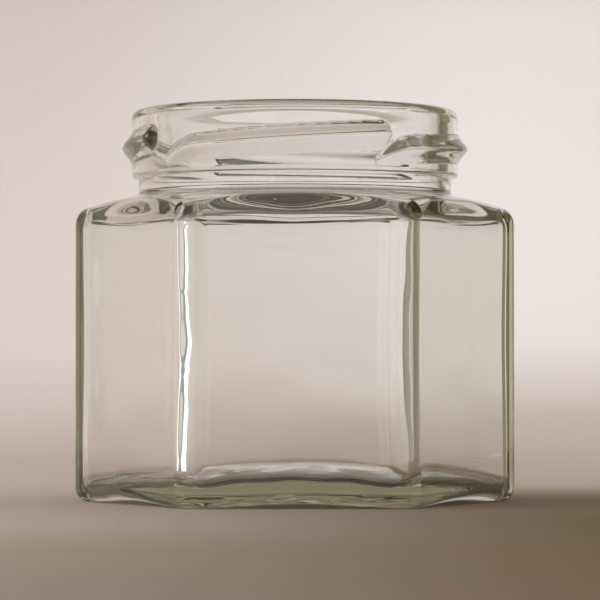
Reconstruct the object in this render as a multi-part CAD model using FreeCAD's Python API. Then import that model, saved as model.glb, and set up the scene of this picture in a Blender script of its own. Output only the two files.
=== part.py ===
# Hexagonal glass jar with a twist-off neck, empty and without its lid: one solid of clear glass.
# Millimetres, +Z up. The origin is the centre of the base, on the surface that the jar stands on.
# The body is a hexagonal prism with flat faces towards +Y and -Y and corners on the X axis.
import FreeCAD, Part
import math
import os

# Overall sizes
ACROSS_FLATS = 59.5          # body, from one flat face to the one opposite
TOTAL_HEIGHT = 60.0          # from the standing surface to the top of the lip

# Body, outside
CORNER_RADIUS = 3.4          # upright corners
HEEL_RADIUS = 2.2            # bottom edge
SHOULDER_RADIUS = 2.6        # top edge, where a face turns into the shoulder
SHOULDER_SLOPE_DEG = 13.0    # the shoulder falls away from the neck like a flat cone

# Body, inside
BODY_WALL = 2.8              # glass of a flat face
SHOULDER_WALL = 2.8          # glass of the shoulder beside the neck, measured upright
CEILING_SLOPE_DEG = 5.0      # the inside of the shoulder is flatter than its outside
FLOOR_HEIGHT = 2.9           # the inside floor at its corners, over the standing surface
FLOOR_ARCH = 2.6             # how much higher the middle of the inside floor is
INNER_CORNER_RADIUS = 4.0    # upright corners of the hollow
INNER_SHOULDER_RADIUS = 2.5  # top edge of the hollow
INNER_HEEL_RADIUS = 2.6      # bottom edge of the hollow

# Base, underneath
BEARING_WIDTH = 1.6          # flat land between the heel and the round recess, at mid-face
RECESS_RISE = 0.45           # height of the recess's sloping rim
RECESS_RIM = 0.9             # width of that rim
PUSH_UP = 1.9                # how much higher the middle of the recess arches

# Neck and lip
LUG_SETBACK = 3.15           # how far the lugs stay inside a flat face
LUG_HEIGHT = 1.45            # how far a lug stands out of the neck
NECK_WALL = 2.85             # glass of the neck behind the lugs
GROOVE_DEPTH = 1.1           # groove under the neck's edge, which the lid's skirt hangs beside
GROOVE_HEIGHT = 2.7
NECK_ROOT_RADIUS = 0.9       # hollow curve from the shoulder into the groove
NECK_EDGE_RADIUS = 0.6       # lower edge of the neck, over the groove
LIP_OUTER_RADIUS = 1.2
LIP_INNER_RADIUS = 1.5
BORE_ROOT_RADIUS = 1.2       # inside, from the bore into the hollow of the body

# Lugs of the twist-off thread. Each climbs to the right and ends high and blunt.
# One number for each lug: how far its thin start runs back under the end of the lug before it.
LUG_OVERLAPS_DEG = (-6.0, 6.0, 0.0, 0.0)
LUG_FIRST_END_DEG = -56.5    # where the first lug ends, counted from +X, with the front at -90
LUG_LEAD = 9.4               # climb in one full turn
LUG_WIDTH = 4.1              # height of a lug's foot on the neck
LUG_CREST_WIDTH = 0.8        # height of its rounded crest
LIP_TO_LUG = 2.9             # bare neck between the lip and a lug's high end
BELOW_LUGS = 0.9             # bare neck between the lowest lug and the neck's edge
LUG_START_TAPER_DEG = 14.0   # run over which a lug grows out of the neck
LUG_END_TAPER_DEG = 4.0      # run over which its blunt end rounds off
LUG_SINK = 0.9               # how deep a lug is rooted in the neck's glass

# Worked out from the sizes above
FLAT = ACROSS_FLATS / 2
LUG_RADIUS = FLAT - LUG_SETBACK
NECK_RADIUS = LUG_RADIUS - LUG_HEIGHT
GROOVE_RADIUS = NECK_RADIUS - GROOVE_DEPTH
BORE_RADIUS = NECK_RADIUS - NECK_WALL
INNER_FLAT = FLAT - BODY_WALL
INNER_CORNER = (INNER_FLAT - INNER_CORNER_RADIUS) / math.cos(math.radians(30)) + INNER_CORNER_RADIUS
LUG_PITCH_DEG = 360.0 / len(LUG_OVERLAPS_DEG)
LONGEST_LUG_DEG = LUG_PITCH_DEG + max(LUG_OVERLAPS_DEG)
CREST_AT_END = TOTAL_HEIGHT - LIP_TO_LUG - LUG_WIDTH / 2
LOWEST_CREST = CREST_AT_END - LUG_LEAD * LONGEST_LUG_DEG / 360.0
NECK_EDGE = LOWEST_CREST - LUG_WIDTH / 2 - BELOW_LUGS
NECK_ROOT = NECK_EDGE - GROOVE_HEIGHT
SLOPE = math.tan(math.radians(SHOULDER_SLOPE_DEG))
CEILING_SLOPE = math.tan(math.radians(CEILING_SLOPE_DEG))
RECESS_RADIUS = FLAT - HEEL_RADIUS - BEARING_WIDTH
BEYOND = 2 * FLAT            # a radius that is well outside the body
ABOVE = 5.0                  # how far cutting solids run past the glass


def point(radius, height, turn_deg=0.0):
    """The point at a distance from the jar's axis, at a height, turned about the axis."""
    turn = math.radians(turn_deg)
    return FreeCAD.Vector(radius * math.cos(turn), radius * math.sin(turn), height)


def shoulder_height(radius):
    """Height of the shoulder's outside at a distance from the axis."""
    return NECK_ROOT - (radius - GROOVE_RADIUS) * SLOPE


def ceiling_height(radius):
    """Height of the shoulder's inside at a distance from the axis."""
    return NECK_ROOT - SHOULDER_WALL - (radius - GROOVE_RADIUS) * CEILING_SLOPE


def rounded_hexagon(flat, corner_radius):
    """The wire of a hexagon with its faces at the distance flat from the axis and its corners rounded."""
    centre_distance = (flat - corner_radius) / math.cos(math.radians(30))
    arcs = []
    for corner in range(6):
        middle_deg = 60.0 * corner
        centre = point(centre_distance, 0, middle_deg)
        ends = [centre + point(corner_radius, 0, middle_deg + turn) for turn in (-30, 0, 30)]
        arcs.append(Part.Arc(*ends).toShape())
    edges = []
    for here, following in zip(arcs, arcs[1:] + arcs[:1]):
        edges.append(here)
        edges.append(Part.makeLine(here.Vertexes[-1].Point, following.Vertexes[0].Point))
    return Part.Wire(edges)


def prism(flat, corner_radius, bottom, top):
    """A solid hexagonal prism between two heights."""
    wire = rounded_hexagon(flat, corner_radius)
    wire.translate(FreeCAD.Vector(0, 0, bottom))
    return Part.Face(wire).extrude(FreeCAD.Vector(0, 0, top - bottom))


def turned(edges):
    """The solid that a closed outline of edges, drawn beside the axis, makes in a full turn."""
    face = Part.Face(Part.Wire(edges))
    solid = Part.Solid(face.revolve(FreeCAD.Vector(), FreeCAD.Vector(0, 0, 1), 360))
    if solid.Volume < 0:
        solid.reverse()
    return solid


def outline(*stops):
    """Edges through (radius, height) stops and back to the first. A stop with a third number is a
    corner rounded to that radius."""
    corners = [point(stop[0], stop[1]) for stop in stops]
    radii = [stop[2] if len(stop) > 2 else 0.0 for stop in stops]
    pieces = []
    count = len(corners)
    for index, corner in enumerate(corners):
        before = (corners[index - 1] - corner).normalize()
        after = (corners[(index + 1) % count] - corner).normalize()
        if radii[index] == 0:
            pieces.append((corner, None, corner))
            continue
        half_turn = before.getAngle(after) / 2
        reach = radii[index] / math.tan(half_turn)
        centre_way = (before + after).normalize()
        centre = corner + centre_way * (radii[index] / math.sin(half_turn))
        pieces.append((corner + before * reach, centre - centre_way * radii[index], corner + after * reach))
    edges = []
    for index, (start, middle, end) in enumerate(pieces):
        if middle is not None:
            edges.append(Part.Arc(start, middle, end).toShape())
        edges.append(Part.makeLine(end, pieces[(index + 1) % count][0]))
    return edges


def edges_on_the_prism(solid, flat, high):
    """The edges where the top (high) or the bottom of a prism's sides ends."""
    found = []
    half_height = (solid.BoundBox.ZMin + solid.BoundBox.ZMax) / 2
    for edge in solid.Edges:
        middle = edge.valueAt((edge.FirstParameter + edge.LastParameter) / 2)
        upright = edge.BoundBox.ZLength > flat / 2
        on_side = math.hypot(middle.x, middle.y) > flat - 0.01
        if on_side and not upright and (middle.z > half_height) == high:
            found.append(edge)
    return found


def circle_edges(solid, radius, height):
    """The round edges of one radius at one height."""
    found = []
    for edge in solid.Edges:
        ends = [vertex.Point for vertex in edge.Vertexes]
        on_circle = all(abs(math.hypot(p.x, p.y) - radius) < 0.01 for p in ends)
        if on_circle and all(abs(p.z - height) < 0.01 for p in ends):
            found.append(edge)
    return found


def make_outside():
    """The jar's outer form, still full inside: body, shoulder, groove, neck and lip."""
    round_form = turned(outline(
        (0, 0),
        (BEYOND, 0),
        (BEYOND, shoulder_height(BEYOND)),
        (GROOVE_RADIUS, NECK_ROOT, NECK_ROOT_RADIUS),
        (GROOVE_RADIUS, NECK_EDGE, NECK_EDGE_RADIUS / 2),
        (NECK_RADIUS, NECK_EDGE, NECK_EDGE_RADIUS),
        (NECK_RADIUS, TOTAL_HEIGHT, LIP_OUTER_RADIUS),
        (0, TOTAL_HEIGHT),
    ))
    solid = prism(FLAT, CORNER_RADIUS, 0, TOTAL_HEIGHT + ABOVE).common(round_form)
    solid = solid.makeFillet(SHOULDER_RADIUS, edges_on_the_prism(solid, FLAT, True))
    return solid.makeFillet(HEEL_RADIUS, edges_on_the_prism(solid, FLAT, False))


def arch(radius, low, rise):
    """A low arch over the axis, part of a large ball: its edge, from a radius and height to the top."""
    ball = (radius ** 2 + rise ** 2) / (2 * rise)
    half_way = math.asin(radius / ball) / 2
    middle = point(ball * math.sin(half_way), low + rise - ball * (1 - math.cos(half_way)))
    return Part.Arc(point(radius, low), middle, point(0, low + rise)).toShape()


def make_floor():
    """The glass under the inside floor, cut from the hollow: it arches up in the middle."""
    edge = INNER_CORNER + 1.0
    rise = FLOOR_ARCH * (edge / INNER_CORNER) ** 2
    low = FLOOR_HEIGHT + FLOOR_ARCH - rise
    return turned([
        Part.makeLine(point(0, -ABOVE), point(edge, -ABOVE)),
        Part.makeLine(point(edge, -ABOVE), point(edge, low)),
        arch(edge, low, rise),
        Part.makeLine(point(0, low + rise), point(0, -ABOVE)),
    ])


def make_hollow():
    """The space inside the body and the neck, which runs out past the lip."""
    round_form = turned(outline(
        (0, 0),
        (BEYOND, 0),
        (BEYOND, ceiling_height(BEYOND)),
        (BORE_RADIUS, ceiling_height(BORE_RADIUS), BORE_ROOT_RADIUS),
        (BORE_RADIUS, TOTAL_HEIGHT + ABOVE),
        (0, TOTAL_HEIGHT + ABOVE),
    ))
    sides = prism(INNER_FLAT, INNER_CORNER_RADIUS, 0, TOTAL_HEIGHT + 2 * ABOVE)
    solid = sides.common(round_form).cut(make_floor())
    solid = solid.makeFillet(INNER_SHOULDER_RADIUS, edges_on_the_prism(solid, INNER_FLAT, True))
    return solid.makeFillet(INNER_HEEL_RADIUS, edges_on_the_prism(solid, INNER_FLAT, False))


def make_base_recess():
    """The round hollow under the base: a sloping rim, then a low arch."""
    rim_inside = RECESS_RADIUS - RECESS_RIM
    return turned([
        Part.makeLine(point(0, -ABOVE), point(RECESS_RADIUS, -ABOVE)),
        Part.makeLine(point(RECESS_RADIUS, -ABOVE), point(RECESS_RADIUS, 0)),
        Part.makeLine(point(RECESS_RADIUS, 0), point(rim_inside, RECESS_RISE)),
        arch(rim_inside, RECESS_RISE, PUSH_UP),
        Part.makeLine(point(0, RECESS_RISE + PUSH_UP), point(0, -ABOVE)),
    ])


def lug_share(along_deg, span_deg):
    """How much of its full height a lug has at an angle from its start: thin start, blunt end."""
    from_start = min(along_deg / LUG_START_TAPER_DEG, 1.0)
    from_end = min((span_deg - along_deg) / LUG_END_TAPER_DEG, 1.0)
    return math.sin(from_start * math.pi / 2) * math.sqrt(1.0 - (1.0 - from_end) ** 2)


def lug_section(turn_deg, foot_middle, share, blunt):
    """The outline of a lug at one angle. A thin start leans down onto the foot's lower edge."""
    low = foot_middle - LUG_WIDTH / 2 * (share if blunt else 1.0)
    high = foot_middle + LUG_WIDTH / 2 * share if blunt else low + LUG_WIDTH * (0.3 + 0.7 * share)
    middle = (low + high) / 2
    crest = LUG_CREST_WIDTH / 2 * share
    root = NECK_RADIUS - LUG_SINK
    foot = root + LUG_SINK * 0.7
    top = root + (LUG_HEIGHT + LUG_SINK) * share
    corners = [
        point(root, low, turn_deg),
        point(min(foot, top - 2 * crest), low, turn_deg),
        point(top - crest, middle - crest, turn_deg),
        point(top, middle, turn_deg),
        point(top - crest, middle + crest, turn_deg),
        point(min(foot, top - 2 * crest), high, turn_deg),
        point(root, high, turn_deg),
    ]
    return Part.Wire([
        Part.makeLine(corners[0], corners[1]),
        Part.makeLine(corners[1], corners[2]),
        Part.Arc(corners[2], corners[3], corners[4]).toShape(),
        Part.makeLine(corners[4], corners[5]),
        Part.makeLine(corners[5], corners[6]),
        Part.makeLine(corners[6], corners[0]),
    ])


def make_lug(index):
    """One lug of the thread, rooted in the neck's glass."""
    span = LUG_PITCH_DEG + LUG_OVERLAPS_DEG[index]
    end = LUG_FIRST_END_DEG + LUG_PITCH_DEG * index
    stations = [LUG_START_TAPER_DEG * share for share in (0.08, 0.25, 0.5, 0.75, 1.0)]
    middle_run = span - LUG_START_TAPER_DEG - LUG_END_TAPER_DEG
    stations += [LUG_START_TAPER_DEG + middle_run * share for share in (0.2, 0.4, 0.6, 0.8, 1.0)]
    stations += [span - LUG_END_TAPER_DEG * share for share in (0.7, 0.4, 0.2, 0.08)]
    sections = []
    for along in stations:
        crest = CREST_AT_END - LUG_LEAD * (span - along) / 360.0
        blunt = along > span / 2
        sections.append(lug_section(end - span + along, crest, lug_share(along, span), blunt))
    return Part.makeLoft(sections, True, False)


def make_jar():
    """The whole jar, as one solid."""
    glass = make_outside()
    for index in range(len(LUG_OVERLAPS_DEG)):
        glass = glass.fuse(make_lug(index))
    glass = glass.cut(make_hollow()).cut(make_base_recess())
    glass = glass.makeFillet(LIP_INNER_RADIUS, circle_edges(glass, BORE_RADIUS, TOTAL_HEIGHT))
    return glass


jar = make_jar()
os.makedirs("parts", exist_ok=True)
jar.exportStep("parts/jar.step")
print("jar: solids", len(jar.Solids), "valid", jar.isValid())
print("size", [round(length, 2) for length in (jar.BoundBox.XLength, jar.BoundBox.YLength, jar.BoundBox.ZLength)])
print("glass cm3", round(jar.Volume / 1000, 2), "mass at 2.5 g/cm3", round(jar.Volume * 2.5e-3, 1), "g")
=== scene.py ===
# %% [markdown]
# # A small hexagonal glass jar
# The jar is one piece of clear glass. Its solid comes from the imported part, and this script gives it
# its looks: it builds the glass again as a fine mesh, with the soft edges and small waves that
# moulded glass has, then sets up the material, the table, the light and the camera.

import math

import bpy
import numpy as np
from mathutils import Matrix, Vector


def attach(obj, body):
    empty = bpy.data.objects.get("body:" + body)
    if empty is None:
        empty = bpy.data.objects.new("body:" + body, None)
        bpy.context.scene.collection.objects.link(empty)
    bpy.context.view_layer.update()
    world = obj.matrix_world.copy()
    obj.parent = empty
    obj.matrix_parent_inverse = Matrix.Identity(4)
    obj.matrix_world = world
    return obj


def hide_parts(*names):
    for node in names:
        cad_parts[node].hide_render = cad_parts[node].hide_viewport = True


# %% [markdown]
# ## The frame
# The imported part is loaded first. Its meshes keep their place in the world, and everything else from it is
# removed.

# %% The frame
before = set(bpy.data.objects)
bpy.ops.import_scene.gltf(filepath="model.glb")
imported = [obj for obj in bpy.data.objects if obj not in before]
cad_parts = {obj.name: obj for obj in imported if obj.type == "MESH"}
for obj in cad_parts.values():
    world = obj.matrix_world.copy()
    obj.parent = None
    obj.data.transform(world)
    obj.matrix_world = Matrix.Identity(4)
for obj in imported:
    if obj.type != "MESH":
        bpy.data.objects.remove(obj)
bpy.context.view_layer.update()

# %% [markdown]
# ## Sizes
# Everything about the form is in millimetres, with the base at height 0 and the jar's axis upright.
# The body is a hexagon with flat faces to the front and the back. The values follow the solid, apart
# from the inner corners, which are 0.1 mm tighter here.

# %% Sizes
FLAT = 29.75              # from the axis to a flat face
CORNER = 3.4              # radius of the upright corners
HEEL = 2.2                # radius of the bottom edge
SHOULDER = 2.6            # radius of the top edge of the body
SLOPE_DEGREES = 13        # the shoulder's fall from the neck outwards
SLOPE = math.tan(math.radians(SLOPE_DEGREES))
HEIGHT = 60.0
NECK = 25.15              # radius of the neck
GROOVE = 24.05            # radius of the groove below it
NECK_EDGE = 49.59         # height of the neck's lower edge
NECK_ROOT = 46.89         # height where the groove would meet the shoulder
BORE = 22.3               # radius of the mouth
INNER_FLAT = 26.95        # from the axis to the inside of a flat face
INNER_CORNER = 3.9        # radius of the upright corners inside
INNER_SHOULDER = 2.5      # radius where the ceiling turns into the inner walls
INNER_HEEL = 2.6          # radius where the inner walls turn into the floor
CEILING = 2.8             # glass of the shoulder beside the neck, measured upright
CEILING_SLOPE = math.tan(math.radians(5))
FLOOR = 2.9               # glass of the base at the corners
RECESS = 25.95            # radius of the round recess under the base
PUSH_UNDER = 1.9          # how far the middle of the recess arches up
PUSH_FLOOR = 2.6          # how far the inside floor arches up, measured to its corners
print("across the faces:", 2 * FLAT, "wall:", round(FLAT - INNER_FLAT, 2), "all in mm")

# %% [markdown]
# ## Rings of points
# The whole surface is a chain of closed rings, from the middle of the base, out and up over the
# lip, and down inside to the middle of the floor. Every ring has a point at the same angles.
# The angles are closer together at the six corners, where the surface bends most.

# %% Angles of the points around the axis
CORNER_ZONE = 3.6
in_corner = np.linspace(-CORNER_ZONE, CORNER_ZONE, 24, endpoint=False)
in_face = np.linspace(CORNER_ZONE, 60 - CORNER_ZONE, 60, endpoint=False)
TURN = np.concatenate([60 * k + np.concatenate([in_corner, in_face]) for k in range(6)])
ANGLE = np.radians(TURN)
COS, SIN = np.cos(ANGLE), np.sin(ANGLE)
print("points in a ring:", len(TURN))

# %% [markdown]
# A rounded hexagon is given by its distance from the axis at each angle. A ring of the body sits at
# some depth inside the outer hexagon, and the corner radius shrinks with that depth. The corner never
# gets sharper than a small radius, so no edge is like a knife.

# %% Hexagon and rounding helpers
SHARPEST = 0.4


def hexagon(flat, corner):
    """The distance from the axis to a rounded hexagon, at each angle."""
    off_corner = np.radians(np.abs((TURN + 30) % 60 - 30))
    centre = (flat - corner) / math.cos(math.radians(30))
    straight = flat / np.cos(math.radians(30) - off_corner)
    reach = np.sqrt(np.maximum(corner ** 2 - (centre * np.sin(off_corner)) ** 2, 0))
    rounded = centre * np.cos(off_corner) + reach
    tangent = math.atan2(corner / 2, centre + corner * math.cos(math.radians(30)))
    return np.where(off_corner < tangent, rounded, straight)


def circle(radius):
    return np.full(len(TURN), float(radius))


def level(height):
    return np.full(len(TURN), float(height))


def quarter(count):
    return np.linspace(0, math.pi / 2, count)


rings = []


def add(radius, height):
    rings.append([np.array(radius, float), np.array(height, float)])


print("corner of the outer hexagon:", round(float(hexagon(FLAT, CORNER)[12]), 2), "mm from the axis")

# %% [markdown]
# ## The base and the outer walls
# Underneath there is a round recess with a low arch, then a flat land to stand on, the rounded heel,
# and the straight walls. The shoulder is a flat cone, so it meets the faces in low arcs.

# %% Base, heel and outer walls
RIM = RECESS - 0.9        # radius where the arch starts
RECESS_DEPTH = 0.45
BALL = (RIM ** 2 + PUSH_UNDER ** 2) / (2 * PUSH_UNDER)    # radius of the ball that the arch is part of
for radius in (0.02, 3, 6, 9, 12, 15, 18, 21, 23, RIM - 0.3):
    add(circle(radius), level(RECESS_DEPTH + PUSH_UNDER - (BALL - math.sqrt(BALL ** 2 - radius ** 2))))
add(circle(RIM + 0.3), level(0.32))
add(circle(RECESS - 0.2), level(0.09))
add(circle(RECESS + 0.15), level(0.0))
land_start = len(rings) - 3
foot = hexagon(FLAT - HEEL, CORNER - HEEL)
add((circle(RECESS) + foot) / 2, level(0.0))
for bend in quarter(9):
    inset = HEEL * (1 - math.sin(bend))
    add(hexagon(FLAT - inset, max(CORNER - inset, SHARPEST)), level(HEEL * (1 - math.cos(bend))))

heel_end = len(rings)
wall = hexagon(FLAT, CORNER)


def shoulder_top(radius):
    return NECK_ROOT - (radius - GROOVE) * SLOPE


turn_in = math.radians(90 - SLOPE_DEGREES)
wall_end = shoulder_top(wall) - SHOULDER * math.tan(turn_in / 2)
for share in np.linspace(0, 1, 12)[1:]:
    add(wall, HEEL + (wall_end - HEEL) * share)
last_inset = SHOULDER * (1 - math.cos(turn_in))
shoulder_edge = hexagon(FLAT - last_inset, CORNER - last_inset)
for bend in np.linspace(0, turn_in, 10)[1:]:
    inset = SHOULDER * (1 - math.cos(bend))
    rise = math.sin(bend) / math.sin(turn_in)
    add(hexagon(FLAT - inset, CORNER - inset), wall_end + (shoulder_top(shoulder_edge) - wall_end) * rise)
print("rings up to the shoulder:", len(rings), "wall ends at", wall_end.min().round(2), "mm")

# %% [markdown]
# ## The neck
# From the shoulder a hollow curve leads into the groove. Above it the neck has a lower edge,
# the bare wall with its lugs, and the rounded lip.

# %% Shoulder, groove and the neck's lower edge
ROOT_ROUND = 0.9          # radius of the hollow curve at the neck's foot
GROOVE_ROUND = 0.3        # radius at the top of the groove
EDGE_ROUND = 0.6          # radius of the neck's lower edge
slope_turn = math.radians(SLOPE_DEGREES)
root_reach = ROOT_ROUND * math.tan(turn_in / 2)
root_start = GROOVE + root_reach * math.cos(slope_turn)
for share in np.linspace(0, 1, 7)[1:]:
    radius = shoulder_edge + (root_start - shoulder_edge) * share
    add(radius, shoulder_top(radius))
for bend in np.linspace(0, turn_in, 6)[1:]:
    radius = GROOVE + ROOT_ROUND * (1 - math.sin(bend + slope_turn))
    height = NECK_ROOT + root_reach - ROOT_ROUND * math.cos(bend + slope_turn)
    add(circle(radius), level(height))
groove_top = NECK_EDGE - GROOVE_ROUND
add(circle(GROOVE), level(groove_top))
for bend in quarter(4)[1:]:
    radius = GROOVE + GROOVE_ROUND * (1 - math.cos(bend))
    add(circle(radius), level(groove_top + GROOVE_ROUND * math.sin(bend)))
for bend in quarter(5):
    radius = NECK - EDGE_ROUND * (1 - math.sin(bend))
    add(circle(radius), level(NECK_EDGE + EDGE_ROUND * (1 - math.cos(bend))))
print("rings up to the neck:", len(rings))

# %% [markdown]
# Four lugs stand out of the neck. Each climbs to the right, starts thin and low, and ends high and
# blunt. A lug's height above the neck depends on the angle and on how far a point is from its crest.

# %% Lugs
LUG_HEIGHT = 1.45         # how far a lug stands out
LUG_HALF = 2.05           # half its width
LUG_LEAD = 9.4            # how much it would climb in a whole turn
CREST_AT_END = 55.05      # height of its crest at the high end
LUG_ENDS = (-56.5, 33.5, 123.5, 213.5)
LUG_SPANS = (84.0, 96.0, 90.0, 90.0)
START_DEGREES = 14        # over which the low end grows to full height
END_DEGREES = 4           # over which the high end drops off


def lug_rise(heights):
    """How far the lugs stand out at each point of a ring whose points are at these heights."""
    total = np.zeros(len(TURN))
    for end, span in zip(LUG_ENDS, LUG_SPANS):
        along = (TURN - (end - span)) % 360
        crest = CREST_AT_END - LUG_LEAD * (span - along) / 360
        grown = np.sin(np.clip(along / START_DEGREES, 0, 1) * math.pi / 2)
        finish = np.clip((span - along) / END_DEGREES, 0, 1)
        dropped = np.sqrt(1 - (1 - finish) ** 2)
        share = np.where(along < span, grown * dropped, 0)
        low = crest - LUG_HALF
        high = low + 2 * LUG_HALF * (0.3 + 0.7 * grown)
        middle = (low + high) / 2
        half = (high - low) / 2 * np.where(finish < 1, 0.25 + 0.75 * dropped, 1)
        off = np.clip(np.abs(heights - middle) / half, 0, 1)
        ridge = 1 - np.sqrt(off ** 2 + 0.02) + 0.14 * off      # nearly straight flanks and a narrow crest
        hill = (1 + np.cos(math.pi * off)) / 2                 # soft flanks that run out into the neck
        total = np.maximum(total, LUG_HEIGHT * share * (0.65 * ridge + 0.35 * hill) / 0.91 * (off < 1))
    return np.minimum(total, LUG_HEIGHT)


LIP_OUTER, LIP_INNER = 1.2, 1.5
LUGS_TOP = 57.4           # above this the neck has no lugs
for height in np.linspace(NECK_EDGE + EDGE_ROUND, LUGS_TOP, 50)[1:]:
    add(circle(NECK) + lug_rise(level(height)), level(height))
for bend in quarter(7):
    add(circle(NECK - LIP_OUTER * (1 - math.cos(bend))), level(HEIGHT - LIP_OUTER * (1 - math.sin(bend))))
for bend in quarter(8):
    add(circle(BORE + LIP_INNER * (1 - math.sin(bend))), level(HEIGHT - LIP_INNER * (1 - math.cos(bend))))
print("rings up to the mouth:", len(rings))

# %% [markdown]
# ## The inside
# The bore opens through a rounded edge into the ceiling of the shoulder. The ceiling turns down into
# the inner walls, and these turn into the floor.

# %% Bore, ceiling, inner walls and floor
def ceiling(radius):
    return NECK_ROOT - CEILING - (radius - GROOVE) * CEILING_SLOPE


BORE_ROOT = 1.2           # radius where the bore opens into the ceiling
inner_turn = math.pi / 2 - math.atan(CEILING_SLOPE)
bore_reach = BORE_ROOT * math.tan(inner_turn / 2)
bore_end = ceiling(BORE) + bore_reach
for share in np.linspace(0, 1, 9)[1:]:
    add(circle(BORE), level(HEIGHT - LIP_INNER + (bore_end - HEIGHT + LIP_INNER) * share))
for bend in np.linspace(0, inner_turn, 8)[1:]:
    add(circle(BORE + BORE_ROOT * (1 - math.cos(bend))), level(bore_end - BORE_ROOT * math.sin(bend)))
ceiling_start = len(rings)
bore_out = BORE + BORE_ROOT * (1 - math.cos(inner_turn))
inner_wall = hexagon(INNER_FLAT, INNER_CORNER)
inner_end = ceiling(inner_wall) - INNER_SHOULDER * math.tan(inner_turn / 2)
inner_last = INNER_SHOULDER * (1 - math.cos(inner_turn))
inner_edge = hexagon(INNER_FLAT - inner_last, max(INNER_CORNER - inner_last, 0.5))
for share in np.linspace(0, 1, 5)[1:]:
    radius = bore_out + (inner_edge - bore_out) * share
    add(radius, ceiling(radius))
for bend in np.linspace(inner_turn, 0, 11)[1:]:
    inset = INNER_SHOULDER * (1 - math.cos(bend))
    rise = math.sin(bend) / math.sin(inner_turn)
    height = inner_end + (ceiling(inner_edge) - inner_end) * rise
    add(hexagon(INNER_FLAT - inset, max(INNER_CORNER - inset, 0.5)), height)
inner_start = len(rings)
FLOOR_RADIUS = (INNER_FLAT - INNER_CORNER) / math.cos(math.radians(30)) + INNER_CORNER


def floor_height(radius):
    return FLOOR + PUSH_FLOOR * (1 - (radius / FLOOR_RADIUS) ** 2)


wall_foot = floor_height(inner_wall) + INNER_HEEL
for share in np.linspace(0, 1, 22)[1:]:
    add(inner_wall, inner_end + (wall_foot - inner_end) * share)
for bend in quarter(9)[1:]:
    inset = INNER_HEEL * (1 - math.cos(bend))
    radius = hexagon(INNER_FLAT - inset, max(INNER_CORNER - inset, 0.6))
    add(radius, floor_height(radius) + INNER_HEEL * (1 - math.sin(bend)))
floor_start = len(rings)
floor_edge = rings[-1][0]
for share in (0.93, 0.84, 0.74, 0.63, 0.51, 0.39, 0.27, 0.15, 0.001):
    add(floor_edge * share, floor_height(floor_edge * share))
print("rings in all:", len(rings))

# %% [markdown]
# ## Small waves
# Moulded glass is never quite even. The walls are thicker half-way up, which brings the inner corners
# closer together there, and thinner at the two side corners. The inner surface has low, long waves,
# made of a few crossed sines, which stay smooth everywhere. The ceiling is lifted towards the corners,
# and the floor is lower towards the two side corners. The bottom edge of each face arches up a little
# between two corners.

# %% Waves of the inner surface and of the bottom edge
BULGE = 0.3               # extra wall half-way up
SIDE_THIN = 0.45          # less wall at the two side corners
CEILING_LIFT = 0.25       # half of the lift at the corners
FLOOR_FALL = 1.3          # how much lower the floor is at the middle of the side faces
ARCH = 0.3                # half of the arch of the bottom edge
TO_FACE = 6 * (ANGLE - math.radians(30))


def fade(values, start, length):
    """0 up to the start, then rising evenly to 1 over the length."""
    return np.clip((values - start) / length, 0, 1)


def wave(size, lobes, climb, start, heights):
    """A ripple with a number of lobes around the jar, which climbs like a thread."""
    return size * np.sin(lobes * ANGLE + climb * heights + start)


for index in range(ceiling_start, floor_start):
    radius, height = rings[index]
    bulge = BULGE * math.exp(-((height.mean() - 25) / 11) ** 2)
    bulge = inner_wall - hexagon(INNER_FLAT - bulge, INNER_CORNER + 1.3 * bulge)
    side = np.exp(-(((TURN + 90) % 180 - 90) / 10) ** 2)
    ripple = wave(0.025, 3, 0.35, 0.7, height) + wave(0.02, 5, -0.45, 2.1, height)
    rings[index][0] = radius - bulge + SIDE_THIN * side + ripple + wave(0.008, 11, 0.8, 4.0, height)
    across, back = radius * COS, radius * SIN
    lift = CEILING_LIFT * (1 - np.cos(TO_FACE)) * fade(radius, 23, 4)
    lift = lift + 0.09 * np.sin(0.33 * across + 0.8) * np.sin(0.5 * back + 0.4)
    lift = lift + 0.06 * np.sin(0.61 * across - 0.45 * back)
    rings[index][1] = height + lift * fade(height, 36, 5)
for index in range(inner_start + 16, len(rings)):
    radius, height = rings[index]
    low = np.clip((9.0 - height) / 4.0, 0, 1)
    across, back = radius * COS, radius * SIN
    swell = 0.12 * np.sin(0.40 * across + 1.0) * np.cos(0.33 * back + 0.4)
    swell = swell + 0.07 * np.sin(0.75 * across - 0.5 * back + 2.0)
    fall = FLOOR_FALL * (1 + np.cos(2 * ANGLE)) / 1.5 * fade(radius, 14, 10)
    rings[index][1] = height + low * (swell * fade(radius, 0, 12) - fall)
for index in range(land_start, heel_end + 3):
    radius, height = rings[index]
    arched = ARCH * (1 + np.cos(TO_FACE))
    rings[index][1] = height + arched * np.clip(1 - height / 5.0, 0, 1)
print("waves from ring", ceiling_start, "to", len(rings))

# %% [markdown]
# ## The mesh
# Neighbouring rings are joined with four-sided faces, and a single point closes each end.

# %% Join the rings into a closed mesh
count = len(TURN)
points = []
for radius, height in rings:
    points.append(np.stack([radius * COS, radius * SIN, height], axis=1))
points = np.concatenate(points)
faces = []
for ring in range(len(rings) - 1):
    low, high = ring * count, (ring + 1) * count
    for k in range(count):
        after = (k + 1) % count
        faces.append((low + k, low + after, high + after, high + k))
bottom, top = len(points), len(points) + 1
points = np.concatenate([points, [[0, 0, rings[0][1][0]], [0, 0, rings[-1][1][0]]]])
last = (len(rings) - 1) * count
for k in range(count):
    after = (k + 1) % count
    faces.append((bottom, after, k))
    faces.append((top, last + k, last + after))
glass_mesh = bpy.data.meshes.new("glass_jar")
glass_mesh.from_pydata((points * 0.001).tolist(), [], faces)
glass_mesh.polygons.foreach_set("use_smooth", [True] * len(faces))
glass_mesh.update()
glass = bpy.data.objects.new("glass_jar", glass_mesh)
bpy.context.collection.objects.link(glass)
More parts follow.
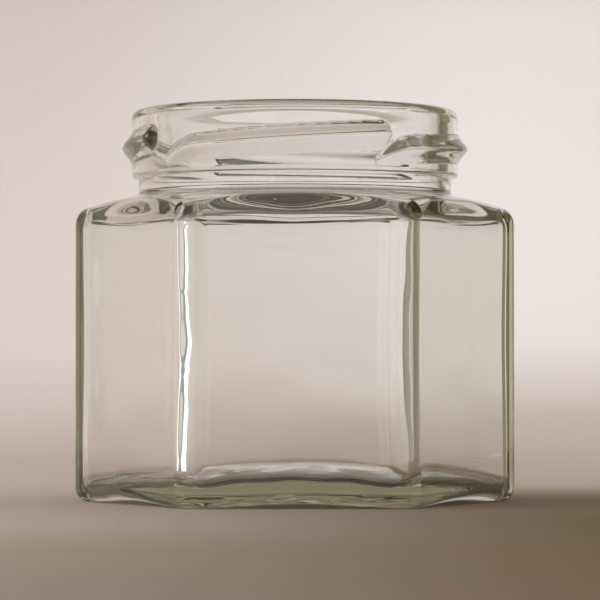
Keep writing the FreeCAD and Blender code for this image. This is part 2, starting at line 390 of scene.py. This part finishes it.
print("faces:", len(faces), "triangles:", sum(len(f) - 2 for f in faces))

# %% [markdown]
# ## Glass
# Clear soda-lime glass, a little green where light goes through a lot of it. The colour belongs in the
# volume and not on the surface, so thick corners come out darker than thin walls by themselves.

# %% Glass material
def material(name):
    made = bpy.data.materials.new(name)
    made.use_nodes = True
    made.node_tree.nodes.clear()
    return made, made.node_tree.nodes, made.node_tree.links


def output(nodes, links, shader, kind="ShaderNodeOutputMaterial"):
    made = nodes.new(kind)
    links.new(shader.outputs[0], made.inputs["Surface"])
    return made


clear, nodes, links = material("clear_glass")
surface = nodes.new("ShaderNodeBsdfPrincipled")
surface.inputs["Base Color"].default_value = (1.0, 1.0, 1.0, 1.0)
surface.inputs["Roughness"].default_value = 0.0
surface.inputs["IOR"].default_value = 1.52
surface.inputs["Transmission Weight"].default_value = 1.0
tint = nodes.new("ShaderNodeVolumeAbsorption")
tint.inputs["Color"].default_value = (0.50, 0.53, 0.31, 1.0)
tint.inputs["Density"].default_value = 24.0
links.new(tint.outputs[0], output(nodes, links, surface).inputs["Volume"])
glass.data.materials.append(clear)
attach(glass, "root")
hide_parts("jar")
print("IOR:", surface.inputs["IOR"].default_value, "tint per metre:", tint.inputs["Density"].default_value)

# %% [markdown]
# ## Table and paper
# The jar stands on a sheet of paper that curves up close behind it. Clear glass mostly shows what
# is around it, so how near the paper is, and where it ends, matters as much as the glass itself.
# Four helpers come first: a screen colour as a shader's colour, a range, a colour ramp and a stage mesh.

# %% Helpers for the stage
def linear(colour):
    """A screen colour in 0 to 255 as the linear values that a shader takes."""
    parts = []
    for value in colour:
        share = value / 255
        parts.append(share / 12.92 if share < 0.04045 else ((share + 0.055) / 1.055) ** 2.4)
    return (*parts, 1.0)


def map_range(nodes, links, value, low, high, smooth=False):
    """How far a value has come from low to high, as 0 to 1."""
    made = nodes.new("ShaderNodeMapRange")
    if smooth:
        made.interpolation_type = "SMOOTHSTEP"
    made.inputs["From Min"].default_value = low
    made.inputs["From Max"].default_value = high
    links.new(value, made.inputs["Value"])
    return made.outputs[0]


def ramp(nodes, stops, low, high):
    """A colour ramp over the metres from low to high."""
    made = nodes.new("ShaderNodeValToRGB")
    elements = made.color_ramp.elements
    while len(elements) > 1:
        elements.remove(elements[-1])
    for index, (place, colour) in enumerate(stops):
        share = (place - low) / (high - low)
        element = elements[0] if index == 0 else elements.new(share)
        element.position = share
        element.color = linear(colour)
    return made


def stage_mesh(name, points, faces, uvs=None):
    """A mesh that is part of the stage, with metres as its UV map."""
    mesh = bpy.data.meshes.new(name)
    mesh.from_pydata(points, [], faces)
    if uvs:
        layer = mesh.uv_layers.new(name="metres")
        for loop in mesh.loops:
            layer.data[loop.index].uv = uvs[loop.vertex_index]
    mesh.polygons.foreach_set("use_smooth", [True] * len(faces))
    made = bpy.data.objects.new(name, mesh)
    bpy.context.collection.objects.link(made)
    return made


print("middle grey as a shader's value:", round(linear((128, 128, 128))[0], 3))

# %% [markdown]
# The paper lies flat, bends up in a quarter circle behind the jar and then stands upright. It is a grid,
# one row of points for each place along the sheet. A bent plane would need a modifier, and the grid
# gives the UV map in metres along the sheet for free. Far out at the sides only the flat part goes on.

# %% Sheet of paper
FOLD, BEND, TOP = 0.045, 0.10, 0.22       # where the bend starts, its radius, the top edge, in metres
FLAT_PLACES = (-1.3, -0.9, -0.6, -0.4, -0.3, -0.2, -0.12, -0.06, -0.03, 0, 0.02, 0.035, FOLD)
profile = [(y, 0.0, y - FOLD) for y in FLAT_PLACES]
FLAT_ROWS = len(profile)
for turn in np.linspace(0, math.pi / 2, 25)[1:]:
    profile.append((FOLD + BEND * math.sin(turn), BEND * (1 - math.cos(turn)), BEND * turn))
for height in np.linspace(BEND, TOP, 6)[1:]:
    profile.append((FOLD + BEND, height, BEND * math.pi / 2 + height - BEND))
RIGHT_COLUMNS = [0.025, 0.05, 0.08, 0.11, 0.16, 0.25, 0.36, 0.7, 1.3]
COLUMNS = [-x for x in reversed(RIGHT_COLUMNS)] + [0] + RIGHT_COLUMNS
UPRIGHT_WIDTH = 0.7       # the bend and the upright part are this wide, in metres
GAP = 0.00002             # the paper is this much lower than the jar's base
points = [(x, y, z - GAP) for y, z, along in profile for x in COLUMNS]
uvs = [(x, along) for y, z, along in profile for x in COLUMNS]
faces = []
for row in range(len(profile) - 1):
    for column in range(len(COLUMNS) - 1):
        if row >= FLAT_ROWS - 1 and abs(COLUMNS[column] + COLUMNS[column + 1]) > UPRIGHT_WIDTH:
            continue
        low = row * len(COLUMNS) + column
        faces.append((low, low + 1, low + len(COLUMNS) + 1, low + len(COLUMNS)))
paper = stage_mesh("paper", points, faces, uvs)
print("paper:", len(profile), "rows of", len(COLUMNS), "points")

# %% [markdown]
# The ramps hold the paper's own pale tone with painted shade on it. Light falls off along the sheet, and a
# little differently at the left and at the right, where a painted shadow in dark brown lies towards the
# front. Each side has a ramp of a few colours by the distance along the sheet from the fold, and a soft step
# from left to right mixes them. Ramps are steadier than lamps here: the paper's shade and the glass's edges
# can be set one at a time. From behind the paper is clear, so it doesn't hide the jar.

# %% Paper colours with painted shade
sheet, nodes, links = material("paper")
place = nodes.new("ShaderNodeUVMap")
place.uv_map = "metres"
split = nodes.new("ShaderNodeSeparateXYZ")
links.new(place.outputs[0], split.inputs[0])
LOW, HIGH = -0.3, 0.2
# Painted shade: both ramps darken towards the front, the right one to a painted shadow in dark brown.
LEFT = [(-0.24, (136, 121, 110)), (-0.18, (141, 126, 112)), (-0.13, (151, 140, 133)),
        (-0.06, (153, 140, 131)), (0.03, (166, 152, 144)), (0.07, (200, 189, 184)), (0.147, (218, 208, 203))]
RIGHT = [(-0.24, (95, 79, 61)), (-0.11, (95, 81, 62)), (-0.04, (112, 98, 82)), (0.0, (141, 126, 109)),
         (0.012, (158, 147, 135)), (0.03, (167, 153, 143)), (0.05, (180, 168, 160)),
         (0.074, (220, 211, 208)), (0.147, (246, 242, 241))]
depth = map_range(nodes, links, split.outputs["Y"], LOW, HIGH)
left = ramp(nodes, LEFT, LOW, HIGH)
right = ramp(nodes, RIGHT, LOW, HIGH)
links.new(depth, left.inputs[0])
links.new(depth, right.inputs[0])
mix = nodes.new("ShaderNodeMix")
mix.data_type = "RGBA"
links.new(map_range(nodes, links, split.outputs["X"], -0.065, 0.05, smooth=True), mix.inputs["Factor"])
links.new(left.outputs[0], mix.inputs["A"])
links.new(right.outputs[0], mix.inputs["B"])


def painted_side_shade(before, edge_from, edge_to, colour):
    """Blend to another colour beyond the side edge of the view, as painted light and shade for the glass to
    show.
    """
    over = nodes.new("ShaderNodeMix")
    over.data_type = "RGBA"
    over.inputs["B"].default_value = linear(colour)
    reach = map_range(nodes, links, split.outputs["X"], edge_from, edge_to, smooth=True)
    links.new(reach, over.inputs["Factor"])
    links.new(before, over.inputs["A"])
    return over.outputs["Result"]


# Painted light and shade beyond the sides: pale at the left, darker further out, dark brown at the right.
shade = painted_side_shade(mix.outputs["Result"], -0.10, -0.14, (192, 180, 172))
shade = painted_side_shade(shade, -0.26, -0.40, (142, 129, 117))
shade = painted_side_shade(shade, 0.10, 0.13, (124, 112, 94))
matt = nodes.new("ShaderNodeBsdfDiffuse")
links.new(shade, matt.inputs["Color"])
clear_back = nodes.new("ShaderNodeBsdfTransparent")
side = nodes.new("ShaderNodeNewGeometry")
one_way = nodes.new("ShaderNodeMixShader")
links.new(side.outputs["Backfacing"], one_way.inputs[0])
links.new(matt.outputs[0], one_way.inputs[1])
links.new(clear_back.outputs[0], one_way.inputs[2])
output(nodes, links, one_way)
paper.data.materials.append(sheet)
print("stops in the ramps:", len(LEFT), "and", len(RIGHT))

# %% [markdown]
# Under the sheet is a round table that turns up far away on all sides. It is only seen from behind and
# from the sides, where it stands in for a plain room, so one dull colour is enough.

# %% Table
PARTS = 64
TABLE_RADIUS, TURN_UP, TABLE_HEIGHT = 1.0, 0.4, -0.0006
rim = [(radius, 0.0) for radius in (0.05, 0.1, 0.2, 0.4, 0.7, TABLE_RADIUS)]
for turn in np.linspace(0, math.pi / 2, 13)[1:]:
    rim.append((TABLE_RADIUS + TURN_UP * math.sin(turn), TURN_UP * (1 - math.cos(turn))))
points, faces = [], [tuple(range(PARTS))]
for radius, height in rim:
    for k in range(PARTS):
        turn = 2 * math.pi * k / PARTS
        points.append((radius * math.cos(turn), radius * math.sin(turn), height + TABLE_HEIGHT))
for ring in range(len(rim) - 1):
    low, high = ring * PARTS, (ring + 1) * PARTS
    for k in range(PARTS):
        after = (k + 1) % PARTS
        faces.append((low + k, low + after, high + after, high + k))
table = stage_mesh("table", points, faces)
dull, nodes, links = material("table")
plain = nodes.new("ShaderNodeBsdfDiffuse")
plain.inputs["Color"].default_value = linear((138, 125, 112))
output(nodes, links, plain)
table.data.materials.append(dull)
print("table:", len(faces), "faces, out to", TABLE_RADIUS + TURN_UP, "m")

# %% [markdown]
# ## Light
# Even light comes from all around. What the glass reflects is a separate, much darker room, a bit
# lighter upwards: with one bright world for both, clear glass would turn milky. One soft lamp at the
# left gives the edges a highlight. Light through the glass leaves it out, as the lamp would show as a
# square in the jar.

# %% Room light and lamp
LIGHT_STRENGTH = 1.3
LAMP_WATTS = 4.0
world = bpy.data.worlds.new("room")
bpy.context.scene.world = world
world.use_nodes = True
nodes, links = world.node_tree.nodes, world.node_tree.links
nodes.clear()
light = nodes.new("ShaderNodeBackground")
light.inputs["Color"].default_value = (1.0, 1.0, 1.0, 1.0)
light.inputs["Strength"].default_value = LIGHT_STRENGTH
seen = nodes.new("ShaderNodeBackground")
where = nodes.new("ShaderNodeTexCoord")
split = nodes.new("ShaderNodeSeparateXYZ")
links.new(where.outputs["Generated"], split.inputs[0])
room = nodes.new("ShaderNodeValToRGB")
room.color_ramp.elements[0].position = 0.35
room.color_ramp.elements[0].color = (0.045, 0.042, 0.032, 1.0)
room.color_ramp.elements[1].position = 1.0
room.color_ramp.elements[1].color = (0.11, 0.10, 0.08, 1.0)
links.new(map_range(nodes, links, split.outputs["Z"], -1.0, 1.0), room.inputs[0])
links.new(room.outputs[0], seen.inputs["Color"])
path = nodes.new("ShaderNodeLightPath")
blend = nodes.new("ShaderNodeMixShader")
lit = nodes.new("ShaderNodeMath")
lit.operation = "GREATER_THAN"
lit.inputs[1].default_value = 0.5
links.new(path.outputs["Diffuse Depth"], lit.inputs[0])
links.new(lit.outputs[0], blend.inputs[0])
links.new(seen.outputs[0], blend.inputs[1])
links.new(light.outputs[0], blend.inputs[2])
output(nodes, links, blend, "ShaderNodeOutputWorld")

window = bpy.data.lights.new("window_left", "AREA")
window.shape = "RECTANGLE"
window.size, window.size_y = 0.6, 0.6
window.energy = LAMP_WATTS
lamp = bpy.data.objects.new("window_left", window)
bpy.context.collection.objects.link(lamp)
lamp.location = (-0.75, -0.15, 0.55)
way = lamp.location - Vector((0, 0, 0.03))
lamp.rotation_euler = way.to_track_quat("Z", "Y").to_euler()
lamp.visible_transmission = False
print("room light:", LIGHT_STRENGTH, "lamp:", LAMP_WATTS, "W,", round(way.length, 2), "m away")

# %% [markdown]
# Narrow lines in the corners of clear glass are images of something bright or dark around the jar.
# Two upright strips glow just in front of the paper behind the left of the jar: a bright one, a painted
# highlight, and a dim one beside it, a painted shade. The glass bends them into the white line and the dark
# line that run down one corner. Only the glass sees them, so they don't change or light the paper. Painting
# lines on the glass would be easier, but the lines would stay where they are when the jar is looked at from
# elsewhere.

# %% Glowing strips that only the glass sees, painted light and shade
CLEARANCE = 0.0008        # in front of the paper, in metres


def strip(name, rows, colour):
    """A strip that lies just in front of the paper and glows, seen only by the glass: painted light and
    shade in the glass. Each row is a list of points across it.
    """
    across = len(rows[0])
    points = [(x, y - CLEARANCE, z + 0.0003) for row in rows for x, y, z in row]
    faces = []
    for row in range(len(rows) - 1):
        for k in range(across - 1):
            low = row * across + k
            faces.append((low, low + 1, low + across + 1, low + across))
    made = stage_mesh(name, points, faces)
    lit, nodes, links = material(name)
    glow = nodes.new("ShaderNodeEmission")
    glow.inputs["Color"].default_value = (*colour, 1.0)
    output(nodes, links, glow)
    made.data.materials.append(lit)
    made.visible_camera = False
    made.visible_diffuse = False
    made.visible_shadow = False
    return made


CORNER_X, CORNER_Y = 0.030, 0.0075        # a point of the glass by the side corner, in metres


def on_bend(bearing, height, side):
    """A point on the bend of the paper, in line with the side corner at a bearing in degrees."""
    rest = BEND - height * 0.001
    y = FOLD + math.sqrt(BEND ** 2 - rest ** 2)
    return (side * (CORNER_X + (y - CORNER_Y) * math.tan(math.radians(bearing))), y, height * 0.001)


print("bearing 20 on the right, 40 mm up:", [round(value, 3) for value in on_bend(20, 40, 1)])

# %% [markdown]
# The strips lean in a little upwards, so that the line in the corner comes out nearly upright. They
# step out close to the height where the walls are thickest, since more glass bends the light further.
# Towards the foot, where the heel bends the light as well, they widen and draw in.

# %% Bright strip of painted highlight and dim strip of painted shade
STRIP_HEIGHTS = (0, 2, 8, 13, 15, 17, 21, 25, 27.5, 28.5, 35, 42, 55, 75)
THICKEST = 27.5           # height of the step, in mm like the heights
FOOT = 17                 # below this the heel takes over


def edges(height):
    """The bearings of both edges of the bright strip, then of the dim strip, at a height."""
    peak = math.exp(-abs(height - THICKEST) / 1.7)
    foot = max(0, 1 - height / FOOT)
    middle = 23.6 - 0.065 * height + 2.1 * peak - 2.6 * foot
    half = 0.75 - 0.005 * height + 0.95 * math.sqrt(foot)
    dim = middle + half + 0.1
    return middle - half, middle + half, dim, dim + 0.8 - 0.0055 * height + 0.5 * peak


bright, dark = [], []
for height in STRIP_HEIGHTS:
    inner, outer, dim_inner, dim_outer = edges(height)
    bright.append([on_bend(outer, height, -1), on_bend(inner, height, -1)])
    dark.append([on_bend(dim_outer, height, -1), on_bend(dim_inner, height, -1)])
# Painted highlight in the bright strip and painted shade in the dim one, both glowing.
strip("painted_highlight_strip", bright, (1.5, 1.5, 1.45))
strip("painted_shade_strip", dark, (0.22, 0.18, 0.175))
print("bright strip at 20 mm:", [round(bearing, 1) for bearing in edges(20)[:2]], "degrees")

# %% [markdown]
# On the right a wide dim olive strip glows along the paper from the fold up to 60 mm: a painted shade that
# gives the other side corner its olive band. Three curved cards stand around the jar: at the left, at the
# right and, a bit higher, behind the camera. They glow and only the glass sees them: painted reflections
# that give the glass something pale to mirror, as a photographer's white cards do.

# %% Olive strip of painted shade and glowing cards of painted reflection
OLIVE_TOP = 0.06
olive = []
for y, z, along in profile[FLAT_ROWS - 3:]:
    if z < OLIVE_TOP:
        turns = [math.tan(math.radians(bearing)) for bearing in (28, 34, 42, 51, 60)]
        olive.append([(CORNER_X + (y - CORNER_Y) * turn, y, z) for turn in turns])
# Painted shade: a dim olive glow that the glass bends into the olive band of the right corner.
strip("olive_painted_shade", olive, (0.235, 0.20, 0.125))


def card(name, away, first, last, low, high, colour):
    """A curved glowing card around the jar, between two bearings from the back; a painted reflection that
    only the glass sees.
    """
    turns = np.radians(np.linspace(first, last, 24))
    heights = (low, (low + high) / 2, high)
    rows = [[(away * math.sin(turn), away * math.cos(turn), z) for z in heights] for turn in turns]
    strip(name, rows, colour)


# Painted reflections: glowing cards, pale at the left, grey at the right and behind the camera.
card("left_painted_reflection", 0.3, -75, -165, 0.0, 0.09, (0.9, 0.88, 0.84))
card("right_painted_reflection", 0.3, 75, 160, 0.0, 0.09, (0.55, 0.53, 0.48))
card("front_painted_reflection", 0.6, 140, 220, 0.07, 0.15, (0.5, 0.48, 0.45))
print("olive strip:", len(olive), "rows, 3 cards")

# %% [markdown]
# ## Camera
# The camera stands half a metre away, low over the table, with a long lens. The neck shows as a thin
# ellipse from there. Light crosses many walls of glass, so the bounces go well above the usual number.

# %% Camera
DISTANCE = 0.5
EYE = 0.0197
camera_data = bpy.data.cameras.new("camera")
camera_data.lens = 194.7
camera_data.sensor_width = 36.0
camera_data.clip_start = 0.01
camera = bpy.data.objects.new("camera", camera_data)
bpy.context.collection.objects.link(camera)
camera.location = (-0.0065, -DISTANCE, EYE)
target = Vector((0.00077, 0.0, 0.03095))
camera.rotation_euler = (target - camera.location).to_track_quat("-Z", "Y").to_euler()
bpy.context.scene.camera = camera
bpy.context.scene.view_settings.view_transform = "Standard"
cycles = bpy.context.scene.cycles
cycles.max_bounces, cycles.transmission_bounces, cycles.glossy_bounces = 40, 40, 40
print("camera at", [round(value, 4) for value in camera.location], "lens", round(camera_data.lens, 1), "mm")
